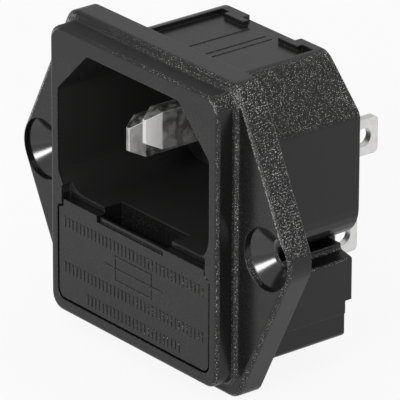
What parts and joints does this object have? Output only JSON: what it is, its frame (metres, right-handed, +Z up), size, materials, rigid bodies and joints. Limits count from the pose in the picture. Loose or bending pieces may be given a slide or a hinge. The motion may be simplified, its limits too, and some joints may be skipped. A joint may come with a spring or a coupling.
{
  "type": "power entry module",
  "caption": "Screw-on mains inlet for a panel: a recessed earthed appliance socket with blade pins above a pull-out fuse drawer, in one flanged housing.",
  "frame": {"origin": "midway between the two panel screw holes, on the flange's rear face, which seats on the panel", "axes": "+X across the panel along the screw line, +Y back through the panel to the terminals, +Z up with the earth pin above the other two; the socket faces -Y"},
  "size_m": [0.0432, 0.0259, 0.0338],
  "materials": {
    "housing_plastic": "black moulded thermoplastic, spark-eroded texture",
    "cover_plastic": "black moulded thermoplastic, fine matt",
    "drawer_plastic": "black moulded thermoplastic, fine matt",
    "plated_metal": "nickel-plated brass, satin",
    "strap_brass": "plain stamped brass",
    "clip_bronze": "plain spring bronze",
    "rivet_metal": "tin-plated",
    "fuse_glass": "clear",
    "fuse_cap_metal": "nickel-plated, bright",
    "fuse_wire_metal": "drawn wire"
  },
  "bodies": {
    "module": {"housing": "housing_plastic", "rear_cover": "cover_plastic", "line_pin": "plated_metal", "neutral_pin": "plated_metal", "earth_pin": "plated_metal", "line_strap": "strap_brass", "line_terminal": "plated_metal", "line_clip": "clip_bronze", "feed_clip": "clip_bronze", "clip_rivets": "rivet_metal"},
    "drawer": {"fuse_drawer": "drawer_plastic", "live_fuse_tube": "fuse_glass", "live_fuse_cap_left": "fuse_cap_metal", "live_fuse_cap_right": "fuse_cap_metal", "live_fuse_wire": "fuse_wire_metal", "spare_fuse_tube": "fuse_glass", "spare_fuse_cap_left": "fuse_cap_metal", "spare_fuse_cap_right": "fuse_cap_metal", "spare_fuse_wire": "fuse_wire_metal"}
  },
  "joints": [
    {"name": "drawer_slide", "type": "slide", "parent": "module", "child": "drawer", "axis": [0, -1, 0], "range_m": [0, 0.016]}
  ]
}
